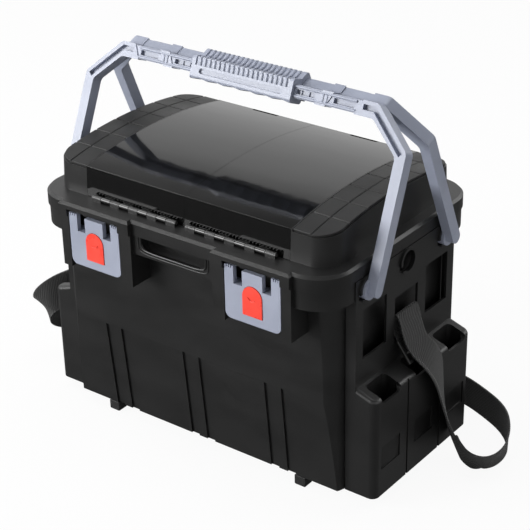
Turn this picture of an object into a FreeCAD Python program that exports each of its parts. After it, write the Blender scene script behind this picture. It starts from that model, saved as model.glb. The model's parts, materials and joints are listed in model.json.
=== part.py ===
import FreeCAD, Part
import math
import os
import re
import Sketcher

# Fishing seat box: a moulded tub with side carriers, a hinged seat lid with two
# top doors, a two-part bail handle, two latches and a shoulder strap.
# Millimetres, +Z up, origin on the floor under the middle, front towards -Y.

SIZES = {
    # tub
    "foot_height": 13, "tub_x": 197, "tub_y_low": 108.5, "tub_y_mid": 119.5, "tub_y_top": 122.5,
    "taper_top": 130, "rim_top": 280.5, "tub_corner": 30, "wall": 4, "foot_side": 15,
    "foot_x": 141.4, "foot_y": 102,
    "groove_pitch": 118, "groove_in": 6, "groove_out": 17.5, "groove_deep": 2.2,
    # collar under the lid
    "collar_low": 257, "collar_x": 209, "collar_y": 147, "collar_corner": 42, "collar_wall": 3.5,
    "bay_in": 58, "bay_out": 163.5, "bay_y": 152, "pillar_low": 216,
    "finger_x": 45.5, "finger_low": 265, "finger_deep": 12, "finger_corner": 11,
    # latches
    "latch_x": 112.75, "latch_half": 37.25, "latch_low": 221.5, "latch_top": 286, "latch_y": 152,
    "latch_deep": 13, "latch_skin": 3, "latch_lip": 6, "latch_gap": 1.2, "notch_in": 13.5, "notch_out": 25.2,
    "notch_low": 265, "tab_drop": 2.5, "latch_corner": 8, "latch_pin_y": 143.5, "latch_pin_z": 240,
    "latch_pin_r": 1.8, "pin_reach": 46, "button_half": 13, "button_low": 232, "button_top": 268,
    "button_gap": 0.35, "button_out": 1, "button_deep": 4.2, "button_lip": 2, "lip_low": 246,
    "stem_r": 2.6, "stem_end": 137, "spring_r": 3.4, "wire_r": 0.4, "spring_pitch": 1.8,
    "striker_half": 22, "striker_low": 282, "striker_high": 289.5, "striker_back": 141,
    "striker_wall": 3, "tooth_pitch": 6.4, "tooth_gap": 3,
    # lid
    "seam": 0.3, "flange_x": 210, "flange_y": 149, "flange_corner": 43, "flange_top": 298,
    "lid_wall": 3, "lid_bay_y": 155, "recess_top": 290, "block_x": 194.5, "block_y": 125.8,
    "block_lean": 3.5, "block_corner": 26, "crown_top": 346, "crown_r": 636.4, "door_half": 144,
    "door_skin": 3, "door_gap": 0.4, "door_rear": 122.8, "front_wall_y": 118.6, "tray_floor": 298,
    "rib_half": 2, "door_hinge_y": 130.5, "door_hinge_z": 301.5, "knuckle_r": 3.2,
    "door_pin_r": 1.5, "run_gap": 0.06, "hinge_start": 7, "hinge_end": 130, "knuckles": 9,
    "door_notch_half": 19, "door_notch_deep": 5,
    "pad_in": 146, "pad_out": 192.6, "pad_y": 122.2, "pad_corner": 25, "pad_thick": 3,
    "tile_gap": 2.2, "tile_deep": 1, "tile_rows": 7, "tile_columns": 2,
    # rear lid hinge
    "lid_hinge_y": 150.5, "lid_hinge_z": 282, "lid_hinge_x": 105, "lid_knuckle_r": 4.5,
    "lid_knuckle_half": 14, "tub_knuckle": 15, "knuckle_gap": 0.5, "lid_pin_r": 2, "hinge_clear": 0.5, "backing": 8,
    # side carriers
    "panel_x": 210.5, "panel_y": 100, "panel_wall": 3, "panel_back": 197.3, "pod_x": 237.5,
    "pod_in_z": 149, "pod_out_z": 140, "pod_corner": 9, "pod_pitch": 68.5, "pocket_half": 19,
    "pocket_in": 214, "pod_wall": 3, "pocket_floor": 18, "scoop_low": 133, "label_low": 48,
    "label_high": 77, "label_deep": 1.4, "window_in": 40, "window_out": 86, "window_low": 180.5,
    "window_high": 241, "strap_win_half": 23.4, "strap_win_high": 228, "sill_top": 203,
    "sill_low": 190, "strap_slot_low": 171,
    "pivot_y": 79, "pivot_z": 265, "ring_r": 15.5, "ring_out": 2.5, "stud_r": 12.2,
    "boss_y": 91, "boss_low_z": 32, "boss_high_z": 164, "boss_r": 5,
    "screw_r": 2, "screw_head_r": 4, "screw_head": 2.4, "screw_in": 7, "screw_seat": 1,
    # handle
    "lean": 22.8, "bail_thick": 15, "arm_in": 213.5, "arm_out": 225.5, "bend_out_x": 223.5,
    "bend_out_y": 148, "bend_in_x": 211, "bend_in_y": 141, "bar_bend_out": 178,
    "bar_bend_in": 175, "bar_high": 191.5, "bar_low": 174.3, "bail_bend": 9,
    "channel_half": 3, "channel_deep": 5, "channel_mid": 184.3, "channel_end": 160,
    "channel_low_x": 217, "channel_low_y": 144.5, "collar_top_x": 158.5, "collar_slant": 8.5,
    "block_top_x": 121, "block_wide": 14, "step": 1.2, "meet_gap": 0.25,
    "grip_half": 70, "core_low": 177.5, "core_high": 188.5, "core_back": 4, "core_thick": 10, "grip_low": 169, "grip_high": 196, "grip_front": 11.5,
    "grip_fit": 0.2, "grip_round": 4, "grip_slot_half": 58, "grip_slot_low": 176,
    "grip_slot_high": 182, "grip_slot_deep": 2.6, "wave_pitch": 22.6, "wave_r": 40,
    "wave_deep": 1.6, "waves": 6, "rib_pitch": 6.6, "rib_count": 20, "rib_gap": 4.2,
    "rib_low": 185, "rib_deep": 1.5, "tooth_high": 1.2,
    # strap
    "strap_wide": 40, "strap_thick": 1.8, "slide_x": 223, "slide_z": 163, "slide_tilt": 54,
    "slide_half": 15, "slide_bar": 4, "slide_thick": 3, "slide_rail": 3, "slide_fit": 1.5,
}

doc = FreeCAD.newDocument("seat_box")
dims = doc.addObject("Spreadsheet::Sheet", "dims")
for row, (size_name, size) in enumerate(SIZES.items(), start=1):
    dims.set("A%d" % row, size_name)
    dims.set("B%d" % row, str(size))
    dims.setAlias("B%d" % row, size_name)
doc.recompute()


def value(text):
    """The number that an expression of named sizes gives now."""
    return float(dims.evalExpression(text))


def link(text):
    """The same expression as a binding to the sheet."""
    return re.sub(r"[a-z][a-z_]*(?![a-z_(])", lambda word: "dims." + word.group(0), text)


def vec(x, y, z=0.0):
    return FreeCAD.Vector(x, y, z)


def minus(text):
    return "-(%s)" % text


class Profile:
    """A sketch on one origin plane of a body, every corner tied to named sizes."""

    def __init__(self, body, role, offset="0", turn="0"):
        plane = [item for item in body.Origin.OriginFeatures if item.Role == role][0]
        self.sketch = body.newObject("Sketcher::SketchObject", "sketch")
        self.sketch.AttachmentSupport = [(plane, "")]
        self.sketch.MapMode = "FlatFace"
        tilt = FreeCAD.Rotation(vec(1, 0, 0), value(turn))
        self.sketch.AttachmentOffset = FreeCAD.Placement(vec(0, 0, value(offset)), tilt)
        if offset != "0":
            self.sketch.setExpression("AttachmentOffset.Base.z", link(offset))
        if turn != "0":
            self.sketch.setExpression("AttachmentOffset.Rotation.Angle", link(turn))

    def size(self, kind, *places, text):
        constraint = Sketcher.Constraint(kind, *places, value(text))
        number = self.sketch.addConstraint(constraint)
        self.sketch.setExpression("Constraints[%d]" % number, link(text))

    def pin(self, line, end, x, y):
        for kind, text, axis in (("DistanceX", x, -2), ("DistanceY", y, -1)):
            if text == "0":
                self.sketch.addConstraint(Sketcher.Constraint("PointOnObject", line, end, axis))
            else:
                self.size(kind, -1, 1, line, end, text=text)

    def polygon(self, *corners):
        points = [vec(value(x), value(y)) for x, y in corners]
        first = self.sketch.GeometryCount
        count = len(points)
        for i in range(count):
            self.sketch.addGeometry(Part.LineSegment(points[i], points[(i + 1) % count]))
        for i in range(count):
            after = first + (i + 1) % count
            self.sketch.addConstraint(Sketcher.Constraint("Coincident", first + i, 2, after, 1))
        for i, (x, y) in enumerate(corners):
            self.pin(first + i, 1, x, y)
        return self

    def box(self, x_low, x_high, y_low, y_high):
        return self.polygon((x_low, y_low), (x_high, y_low), (x_high, y_high), (x_low, y_high))

    def round_box(self, x_low, x_high, y_low, y_high, radius):
        left, right, low, high, r = [value(t) for t in (x_low, x_high, y_low, y_high, radius)]
        quarter = math.pi / 2
        first = self.sketch.GeometryCount
        sides = [((left + r, low), (right - r, low)), ((right, low + r), (right, high - r)),
                 ((right - r, high), (left + r, high)), ((left, high - r), (left, low + r))]
        centres = [(right - r, low + r), (right - r, high - r), (left + r, high - r), (left + r, low + r)]
        for i in range(4):
            start, end = sides[i]
            self.sketch.addGeometry(Part.LineSegment(vec(*start), vec(*end)))
            circle = Part.Circle(vec(*centres[i]), vec(0, 0, 1), r)
            self.sketch.addGeometry(Part.ArcOfCircle(circle, (i - 1) * quarter, i * quarter))
        for i in range(8):
            after = first + (i + 1) % 8
            self.sketch.addConstraint(Sketcher.Constraint("Tangent", first + i, 2, after, 1))
        for i in (0, 4):
            self.sketch.addConstraint(Sketcher.Constraint("Horizontal", first + i))
            self.sketch.addConstraint(Sketcher.Constraint("Vertical", first + i + 2))
        for i in (3, 5, 7):
            self.sketch.addConstraint(Sketcher.Constraint("Equal", first + 1, first + i))
        self.size("Radius", first + 1, text=radius)
        self.size("DistanceY", -1, 1, first, 1, text=y_low)
        self.size("DistanceX", -1, 1, first + 2, 1, text=x_high)
        self.size("DistanceY", -1, 1, first + 4, 1, text=y_high)
        self.size("DistanceX", -1, 1, first + 6, 1, text=x_low)
        return self

    def middle_box(self, x, y, radius):
        return self.round_box(minus(x), x, minus(y), y, radius)

    def disc(self, x, y, radius):
        circle = Part.Circle(vec(value(x), value(y)), vec(0, 0, 1), value(radius))
        number = self.sketch.addGeometry(circle)
        self.size("Radius", number, text=radius)
        self.pin(number, 3, x, y)
        return self

    def arch(self, x_low, x_high, y_low, y_spring):
        """A window with a flat foot and a half-round head."""
        left, right, low, high = [value(t) for t in (x_low, x_high, y_low, y_spring)]
        add = self.sketch.addGeometry
        add(Part.LineSegment(vec(left, low), vec(right, low)))
        add(Part.LineSegment(vec(right, low), vec(right, high)))
        head = Part.Circle(vec((left + right) / 2, high), vec(0, 0, 1), (right - left) / 2)
        add(Part.ArcOfCircle(head, 0, math.pi))
        add(Part.LineSegment(vec(left, high), vec(left, low)))
        for kind, *places in (("Coincident", 0, 2, 1, 1), ("Tangent", 1, 2, 2, 1),
                              ("Tangent", 2, 2, 3, 1), ("Coincident", 3, 2, 0, 1),
                              ("Horizontal", 0), ("Vertical", 1), ("Vertical", 3)):
            self.sketch.addConstraint(Sketcher.Constraint(kind, *places))
        self.size("DistanceX", -1, 1, 0, 1, text=x_low)
        self.size("DistanceX", -1, 1, 0, 2, text=x_high)
        self.size("DistanceY", -1, 1, 0, 1, text=y_low)
        self.size("DistanceY", -1, 1, 1, 2, text=y_spring)
        return self

    def crown(self, drop, y_low, y_high, z_end):
        """From the crowned seat surface, lowered by drop, straight up or down to z_end."""
        radius = "crown_r - (%s)" % drop
        centre = "crown_top - crown_r"
        r, mid, left, right, end = [value(t) for t in (radius, centre, y_low, y_high, z_end)]
        from_angle = math.acos(right / r)
        to_angle = math.acos(left / r)
        z_right = mid + r * math.sin(from_angle)
        z_left = mid + r * math.sin(to_angle)
        first = self.sketch.GeometryCount
        add = self.sketch.addGeometry
        add(Part.ArcOfCircle(Part.Circle(vec(0, mid), vec(0, 0, 1), r), from_angle, to_angle))
        add(Part.LineSegment(vec(left, z_left), vec(left, end)))
        add(Part.LineSegment(vec(left, end), vec(right, end)))
        add(Part.LineSegment(vec(right, end), vec(right, z_right)))
        for i in range(4):
            after = first + (i + 1) % 4
            self.sketch.addConstraint(Sketcher.Constraint("Coincident", first + i, 2, after, 1))
        self.sketch.addConstraint(Sketcher.Constraint("Vertical", first + 1))
        self.sketch.addConstraint(Sketcher.Constraint("Horizontal", first + 2))
        self.sketch.addConstraint(Sketcher.Constraint("Vertical", first + 3))
        self.sketch.addConstraint(Sketcher.Constraint("PointOnObject", first, 3, -2))
        self.size("Radius", first, text=radius)
        self.size("DistanceY", -1, 1, first, 3, text=centre)
        self.size("DistanceX", -1, 1, first + 1, 1, text=y_low)
        self.size("DistanceX", -1, 1, first + 3, 1, text=y_high)
        self.size("DistanceY", -1, 1, first + 1, 2, text=z_end)
        return self


class Piece:
    """One moulded or turned piece as a PartDesign body."""

    def __init__(self, label, several=False):
        self.body = doc.addObject("PartDesign::Body", label)
        self.body.Label = label
        self.body.AllowCompound = several
        self.tidy = False

    def profile(self, role="XY_Plane", offset="0", turn="0"):
        return Profile(self.body, role, offset, turn)

    def feature(self, kind, profile, length=None, back=False, both=False):
        made = self.body.newObject("PartDesign::" + kind, kind.lower())
        made.Profile = profile.sketch
        made.Reversed = back
        made.Refine = self.tidy
        made.Midplane = both
        made.Length = value(length)
        made.setExpression("Length", link(length))
        profile.sketch.Visibility = False
        return made

    def pad(self, profile, length, **how):
        return self.feature("Pad", profile, length, **how)

    def pocket(self, profile, length, **how):
        return self.feature("Pocket", profile, length, **how)

    def cut_out(self, other):
        made = self.body.newObject("PartDesign::Boolean", "boolean")
        made.setObjects([other.body])
        made.Type = "Cut"
        self.body.Tip = made
        return made

    def mirror(self, features, role):
        doc.recompute()
        plane = [item for item in self.body.Origin.OriginFeatures if item.Role == role][0]
        made = self.body.newObject("PartDesign::Mirrored", "mirror")
        made.Originals = list(features)
        made.MirrorPlane = (plane, [""])
        made.Refine = False
        self.body.Tip = made
        return made

    def fillet(self, radius, chosen, kind="Fillet", name="Radius"):
        """Round or bevel the edges for which chosen(edge) holds."""
        doc.recompute()
        base = self.body.Tip
        names = ["Edge%d" % (i + 1) for i, edge in enumerate(base.Shape.Edges) if chosen(edge)]
        made = self.body.newObject("PartDesign::" + kind, kind.lower())
        made.Base = (base, names)
        setattr(made, name, value(radius))
        made.setExpression(name, link(radius))
        return made

    def bevel(self, size, chosen):
        return self.fillet(size, chosen, "Chamfer", "Size")


def runs_along(edge, axis):
    """True for a straight edge along one axis of its piece."""
    if not isinstance(edge.Curve, Part.Line):
        return False
    return abs(abs(edge.Curve.Direction.dot(axis)) - 1) < 1e-6


def mid_of(edge):
    return edge.valueAt((edge.FirstParameter + edge.LastParameter) / 2)


def mirrored(label, source):
    """The left-hand copy of a right-hand piece."""
    made = doc.addObject("Part::Mirroring", label)
    made.Label = label
    made.Source = source
    made.Normal = vec(1, 0, 0)
    return made


def is_upright(edge):
    """True for a straight edge that runs up a corner of a tapering box."""
    return isinstance(edge.Curve, Part.Line) and edge.Curve.Direction.z ** 2 > 0.9


def both_signs(x_low, x_high):
    """The same X span on the right and on the left."""
    return ((x_low, x_high), (minus(x_high), minus(x_low)))


def tapered_box(piece, inset, top):
    """The tub's outer form, or its cavity when inset is the wall."""
    slope = "(tub_y_top - tub_y_mid) / (rim_top - taper_top)"
    high = "tub_y_mid - (%s) + (%s - taper_top) * %s" % (inset, top, slope)
    low = "tub_y_low - (%s)" % inset
    middle = "tub_y_mid - (%s)" % inset
    floor = "foot_height + %s" % inset
    plan = piece.profile(offset=floor).middle_box(
        "tub_x - (%s)" % inset, "%s + screw_seat" % high, "tub_corner - (%s)" % inset)
    piece.pad(plan, "%s - (%s)" % (top, floor))
    wedges = piece.profile("YZ_Plane")
    for way in (1, -1):
        corners = [(low, floor), ("tub_y_top + wall", floor), ("tub_y_top + wall", top), (high, top), (middle, "taper_top")]
        if way < 0:
            corners = [(minus(y), z) for y, z in reversed(corners)]
        wedges.polygon(*corners)
    piece.pocket(wedges, "tub_x * 3", both=True)


def tub():
    piece = Piece("tub")
    piece.tidy = True
    tapered_box(piece, "0", "rim_top")
    piece.tidy = False
    # collar with a hollow skirt, and the two latch bays with their pillars
    ring = piece.profile(offset="collar_low").middle_box("collar_x", "collar_y", "collar_corner")
    piece.pad(ring, "rim_top - collar_low")
    hollow = piece.profile(offset="collar_low")
    hollow.middle_box("collar_x - collar_wall", "collar_y - collar_wall", "collar_corner - collar_wall")
    hollow.middle_box("tub_x", "tub_y_top", "tub_corner")
    piece.pocket(hollow, "rim_top - collar_low - collar_wall", back=True)
    pillars = piece.profile(offset="pillar_low")
    for inner, outer in (("bay_in", "latch_x - latch_half - latch_gap"),
                         ("latch_x + latch_half + latch_gap", "bay_out")):
        for left, right in both_signs(inner, outer):
            pillars.box(left, right, minus("bay_y"), minus("tub_y_mid"))
    piece.pad(pillars, "rim_top - pillar_low")
    bays = piece.profile(offset="pillar_low")
    for left, right in both_signs("latch_x - latch_half - latch_gap", "latch_x + latch_half + latch_gap"):
        bays.box(left, right, minus("bay_y + wall"), minus("tub_y_top + seam"))
    piece.pocket(bays, "rim_top - pillar_low + seam", back=True)
    sides = piece.profile(offset="collar_low")
    for left, right in both_signs("tub_x", "collar_x + seam"):
        sides.box(left, right, minus("panel_y + seam"), "panel_y + seam")
    piece.pocket(sides, "rim_top - collar_low + seam", back=True)
    # finger slot in the front lip
    slot = piece.profile("XZ_Plane", "collar_y + seam")
    slot.round_box(minus("finger_x"), "finger_x", "finger_low", "rim_top + finger_corner", "finger_corner")
    piece.pocket(slot, "finger_deep")
    # corrugation grooves, front and rear
    for middle in ("0", "groove_pitch", minus("groove_pitch")):
        for left, right in both_signs("groove_in", "groove_out"):
            groove = piece.profile("YZ_Plane", "%s + (%s)" % (middle, left))
            for turned in (False, True):
                corners = [("tub_y_low - groove_deep", "foot_height - seam"),
                           ("tub_y_low + wall", "foot_height - seam"),
                           ("tub_y_mid + wall", "taper_top"), ("tub_y_mid - groove_deep", "taper_top")]
                if turned:
                    corners = [(minus(y), z) for y, z in reversed(corners)]
                groove.polygon(*corners)
            piece.pocket(groove, "groove_out - groove_in", back=True)
    # rear hinge knuckles
    axis = piece.profile("YZ_Plane", "lid_hinge_x + lid_knuckle_half + knuckle_gap")
    axis.disc("lid_hinge_y", "lid_hinge_z", "lid_knuckle_r")
    webs = piece.profile("YZ_Plane", "lid_hinge_x + lid_knuckle_half + knuckle_gap")
    webs.box("collar_y - collar_wall", "lid_hinge_y", "lid_hinge_z - lid_knuckle_r", "rim_top")
    axis_in = piece.profile("YZ_Plane", "lid_hinge_x - lid_knuckle_half - knuckle_gap - tub_knuckle")
    axis_in.disc("lid_hinge_y", "lid_hinge_z", "lid_knuckle_r")
    webs_in = piece.profile("YZ_Plane", "lid_hinge_x - lid_knuckle_half - knuckle_gap - tub_knuckle")
    webs_in.box("collar_y - collar_wall", "lid_hinge_y", "lid_hinge_z - lid_knuckle_r", "rim_top")
    outer = [piece.pad(item, "tub_knuckle") for item in (webs, axis, webs_in, axis_in)]
    bore = piece.profile("YZ_Plane", "lid_hinge_x").disc("lid_hinge_y", "lid_hinge_z", "lid_pin_r")
    hole = piece.pocket(bore, "lid_hinge_x", both=True)
    room = piece.profile("YZ_Plane", "lid_hinge_x").disc("lid_hinge_y", "lid_hinge_z", "lid_knuckle_r + hinge_clear")
    sweep = piece.pocket(room, "(lid_knuckle_half + knuckle_gap) * 2", both=True)
    piece.mirror(outer + [hole, sweep], "YZ_Plane")
    # cavity, opened last so that it clears everything added inside
    hollow = Piece("tub_hollow")
    tapered_box(hollow, "wall", "rim_top + wall * 2")
    piece.cut_out(hollow)
    # bores for the latch pins and the carrier screws
    pins = piece.profile("YZ_Plane", "latch_x").disc(minus("latch_pin_y"), "latch_pin_z", "latch_pin_r")
    pin_bore = piece.pocket(pins, "pin_reach * 2", both=True)
    seats = piece.profile("YZ_Plane", "tub_x - wall - screw_seat")
    screws = piece.profile("YZ_Plane", "tub_x - wall / 2")
    half = "screw_head_r + screw_seat"
    for y in ("boss_y", minus("boss_y")):
        for z in ("boss_low_z", "boss_high_z"):
            seats.box("%s - (%s)" % (y, half), "%s + %s" % (y, half), "%s - (%s)" % (z, half), "%s + %s" % (z, half))
            screws.disc(y, z, "screw_r")
    seat = piece.pad(seats, "panel_back - tub_x + wall + screw_seat")
    screw_bore = piece.pocket(screws, "wall * 3", both=True)
    piece.mirror([pin_bore, seat, screw_bore], "YZ_Plane")
    return piece.body


def feet():
    piece = Piece("feet", several=True)
    plan = piece.profile()
    for x in ("foot_x", minus("foot_x")):
        for y in ("foot_y", minus("foot_y")):
            half = "foot_side / 2"
            plan.box("%s - %s" % (x, half), "%s + %s" % (x, half), "%s - %s" % (y, half), "%s + %s" % (y, half))
    piece.pad(plan, "foot_height")
    piece.fillet("foot_side / 8", lambda edge: mid_of(edge).z < 0.01)
    return piece.body


def side_carrier():
    piece = Piece("right_side_carrier")
    panel = piece.profile(offset="foot_height").box("panel_back", "panel_x", minus("panel_y"), "panel_y")
    piece.pad(panel, "rim_top - foot_height - seam")
    section = piece.profile("XZ_Plane").polygon(
        ("panel_x - panel_wall", "foot_height"), ("pod_x", "foot_height"), ("pod_x", "pod_out_z"),
        ("panel_x", "pod_in_z"), ("panel_x - panel_wall", "pod_in_z"))
    piece.pad(section, "panel_y * 2", both=True)
    up = vec(0, 0, 1)
    along = vec(0, 1, 0)
    limit = value("pod_x") - 0.01
    piece.fillet("pod_corner", lambda edge: runs_along(edge, up) and mid_of(edge).x > limit)
    piece.fillet("pod_corner * 0.6", lambda edge: runs_along(edge, along)
                 and mid_of(edge).x > limit and mid_of(edge).z > value("pod_out_z") - 1)
    back = piece.profile("YZ_Plane", "panel_back").box(
        minus("panel_y - panel_wall"), "panel_y - panel_wall",
        "foot_height + panel_wall", "rim_top - seam - panel_wall")
    piece.pocket(back, "panel_x - panel_wall - panel_back", back=True)
    # three rod and tool pockets with a scooped front lip
    pockets = piece.profile(offset="pocket_floor")
    scoops = piece.profile("YZ_Plane", "pod_x - pod_wall * 2")
    labels = piece.profile("YZ_Plane", "pod_x - label_deep")
    for place in (minus("pod_pitch"), "0", "pod_pitch"):
        left = "%s - pocket_half" % place
        right = "%s + pocket_half" % place
        pockets.round_box("pocket_in", "pod_x - pod_wall", left, right, "pod_wall * 2")
        scoops.round_box(left, right, "scoop_low", "pod_in_z + pod_corner", "pod_wall * 2")
        labels.box(left, right, "label_low", "label_high")
    piece.pocket(pockets, "pod_in_z - pocket_floor + pod_corner", back=True)
    piece.pocket(scoops, "pod_wall * 3", back=True)
    piece.pocket(labels, "pod_wall", back=True)
    # panel windows, strap slots and the grooves between the pods
    windows = piece.profile("YZ_Plane", "panel_back")
    windows.box("window_in", "window_out", "window_low", "window_high")
    windows.box(minus("window_out"), minus("window_in"), "window_low", "window_high")
    windows.box(minus("strap_win_half"), "strap_win_half", "sill_top", "strap_win_high")
    windows.box(minus("strap_win_half"), "strap_win_half", "strap_slot_low", "sill_low")
    piece.pocket(windows, "panel_x - panel_back + seam", back=True)
    lines = piece.profile(offset="foot_height")
    for place in (minus("pod_pitch / 2"), "pod_pitch / 2"):
        lines.box("pod_x - label_deep", "pod_x + pod_wall", "%s - label_deep" % place, "%s + label_deep" % place)
    piece.pocket(lines, "pod_out_z", back=True)
    # three handle bearings: ring, bore and assembly notch
    rings = piece.profile("YZ_Plane", "panel_x - seam")
    bores = piece.profile("YZ_Plane", "panel_x - panel_wall - seam")
    notches = piece.profile("YZ_Plane", "panel_x - panel_wall - seam")
    for place in (minus("pivot_y"), "0", "pivot_y"):
        rings.disc(place, "pivot_z", "ring_r")
        bores.disc(place, "pivot_z", "stud_r + run_gap")
        notches.box("%s - ring_r" % place, "%s - stud_r * 0.6" % place, "pivot_z - stud_r * 0.75", "pivot_z - stud_r * 0.2")
    piece.pad(rings, "ring_out + seam")
    piece.pocket(bores, "panel_wall + ring_out + seam * 2", back=True)
    piece.pocket(notches, "panel_wall + ring_out + seam * 2", back=True)
    # screw bosses that stand on the tub wall
    bosses = piece.profile("YZ_Plane", "panel_back")
    screws = piece.profile("YZ_Plane", "panel_back")
    for y in ("boss_y", minus("boss_y")):
        for z in ("boss_low_z", "boss_high_z"):
            bosses.disc(y, z, "boss_r")
            screws.disc(y, z, "screw_r")
    piece.pad(bosses, "panel_x - panel_wall - panel_back + seam")
    piece.pocket(screws, "screw_in + seam", back=True)
    return piece.body


def carrier_screws():
    piece = Piece("carrier_screws", several=True)
    shanks = piece.profile("YZ_Plane", "tub_x - wall - screw_seat")
    heads = piece.profile("YZ_Plane", "tub_x - wall - screw_seat")
    for y in ("boss_y", minus("boss_y")):
        for z in ("boss_low_z", "boss_high_z"):
            shanks.disc(y, z, "screw_r")
            heads.disc(y, z, "screw_head_r")
    made = [piece.pad(shanks, "panel_back - tub_x + wall + screw_seat + screw_in"),
            piece.pad(heads, "screw_head", back=True)]
    piece.mirror(made, "YZ_Plane")
    return piece.body


def lid_frame():
    piece = Piece("lid_frame")
    piece.tidy = True
    base = "rim_top + seam"
    flange = piece.profile(offset=base).middle_box("flange_x", "flange_y", "flange_corner")
    piece.pad(flange, "flange_top - rim_top - seam")
    bays = piece.profile(offset=base)
    for left, right in both_signs("bay_in", "bay_out"):
        bays.box(left, right, minus("lid_bay_y"), minus("flange_y - flange_corner"))
    piece.pad(bays, "flange_top - rim_top - seam")
    piece.bevel("lid_wall", lambda edge: mid_of(edge).z > value("flange_top") - 0.01)
    piece.tidy = False
    # seat block: lofted up, crowned across, cut away where the doors lie
    piece.tidy = True
    block = piece.profile("YZ_Plane").polygon(
        (minus("block_y"), "flange_top"), ("block_y", "flange_top"),
        ("block_y - block_lean", "crown_top + seam"), (minus("block_y - block_lean"), "crown_top + seam"))
    piece.pad(block, "block_x * 2", both=True)
    above = value("flange_top") + 1
    piece.fillet("block_corner", lambda edge: is_upright(edge) and mid_of(edge).z > above)
    piece.tidy = False
    over = piece.profile("YZ_Plane").crown("0", minus("block_y + wall"), "block_y + wall", "crown_top + wall * 2")
    piece.pocket(over, "block_x * 3", both=True)
    front = piece.profile(offset="flange_top")
    front.box(minus("door_half"), "door_half", minus("block_y + wall"), minus("front_wall_y"))
    piece.pocket(front, "crown_top - flange_top", back=True)
    under_doors = piece.profile("YZ_Plane").crown(
        "door_skin + door_gap", minus("block_y + wall"), "door_rear + door_gap", "crown_top + wall * 2")
    piece.pocket(under_doors, "door_half * 2", both=True)
    for left, right in both_signs("pad_in - door_gap", "block_x + wall"):
        seat = piece.profile("YZ_Plane", left)
        seat.crown("pad_thick", minus("block_y + wall"), "block_y + wall", "crown_top + wall * 2")
        piece.pocket(seat, "block_x + wall - pad_in + door_gap", back=True)
    # two compartments under the doors, open space under the seat ends and the skirt
    trays = piece.profile(offset="tray_floor")
    for left, right in both_signs("rib_half", "door_half - lid_wall"):
        trays.round_box(left, right, minus("front_wall_y - lid_wall"), "front_wall_y - lid_wall", "wall")
    piece.pocket(trays, "crown_top - tray_floor", back=True)
    skirt = piece.profile(offset=base).middle_box(
        "flange_x - lid_wall", "flange_y - lid_wall", "flange_corner - lid_wall")
    piece.pocket(skirt, "tray_floor - lid_wall - rim_top - seam", back=True)
    ends = piece.profile(offset=base)
    for left, right in both_signs("door_half + lid_wall", "block_x - lid_wall * 2"):
        ends.round_box(left, right, minus("pad_y - wall * 2"), "pad_y - wall * 2", "block_corner - wall * 2")
    piece.pocket(ends, "crown_top - rim_top - pad_thick - wall * 4", back=True)
    mouths = piece.profile(offset=base)
    for left, right in both_signs("latch_x - latch_half - latch_gap", "latch_x + latch_half + latch_gap"):
        mouths.box(left, right, minus("lid_bay_y + wall"), minus("flange_y - lid_wall * 2"))
    piece.pocket(mouths, "recess_top - rim_top - seam", back=True)
    bay_hollow = piece.profile(offset=base)
    for left, right in both_signs("bay_in + lid_wall", "bay_out - lid_wall"):
        bay_hollow.box(left, right, minus("lid_bay_y - lid_wall"), minus("flange_y - lid_wall * 2"))
    piece.pocket(bay_hollow, "tray_floor - lid_wall - rim_top - seam", back=True)
    walls = piece.profile(offset="tray_floor - lid_wall")
    for left, right in both_signs("latch_x - latch_half", "latch_x + latch_half"):
        walls.box(left, right, minus("striker_back"), minus("striker_back - striker_wall"))
    piece.pad(walls, "tray_floor - lid_wall - rim_top - seam", back=True)
    # rear knuckles, with room around the tub's own barrels
    back_wall = piece.profile(offset="tray_floor - lid_wall")
    back_wall.box("lid_hinge_x - lid_knuckle_half - tub_knuckle - wall", "lid_hinge_x + lid_knuckle_half + tub_knuckle + wall",
                  "flange_y - backing", "flange_y - lid_wall / 2")
    backing = piece.pad(back_wall, "tray_floor - lid_wall - rim_top - seam", back=True)
    room = piece.profile("YZ_Plane", "lid_hinge_x").disc("lid_hinge_y", "lid_hinge_z", "lid_knuckle_r + hinge_clear")
    sweep = piece.pocket(room, "(lid_knuckle_half + tub_knuckle + knuckle_gap * 2) * 2", both=True)
    webs = piece.profile("YZ_Plane", "lid_hinge_x")
    webs.box("flange_y - backing / 2", "lid_hinge_y", base, "lid_hinge_z + lid_knuckle_r + hinge_clear")
    barrels = piece.profile("YZ_Plane", "lid_hinge_x").disc("lid_hinge_y", "lid_hinge_z", "lid_knuckle_r")
    bores = piece.profile("YZ_Plane", "lid_hinge_x").disc("lid_hinge_y", "lid_hinge_z", "lid_pin_r + run_gap")
    made = [backing, sweep,
            piece.pad(webs, "lid_knuckle_half * 2", both=True),
            piece.pad(barrels, "lid_knuckle_half * 2", both=True),
            piece.pocket(bores, "lid_knuckle_half * 3", both=True)]
    piece.mirror(made, "YZ_Plane")
    # the lid's share of the door knuckles, every second one along the ledge
    made = []
    step = "(hinge_end - hinge_start) / knuckles"
    for i in range(0, int(value("knuckles")), 2):
        start = "hinge_start + %s * %d + knuckle_gap / 2" % (step, i)
        leaf = piece.profile("YZ_Plane", start)
        leaf.box(minus("door_hinge_y + knuckle_r"), minus("door_hinge_y - knuckle_r"), "flange_top - seam", "door_hinge_z")
        barrel = piece.profile("YZ_Plane", start).disc(minus("door_hinge_y"), "door_hinge_z", "knuckle_r")
        made.append(piece.pad(leaf, "%s - knuckle_gap" % step))
        made.append(piece.pad(barrel, "%s - knuckle_gap" % step))
    bore = piece.profile("YZ_Plane", "hinge_start - knuckle_gap")
    bore.disc(minus("door_hinge_y"), "door_hinge_z", "door_pin_r")
    made.append(piece.pocket(bore, "hinge_end - hinge_start + knuckle_gap * 2", back=True))
    piece.mirror(made, "YZ_Plane")
    return piece.body


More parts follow.
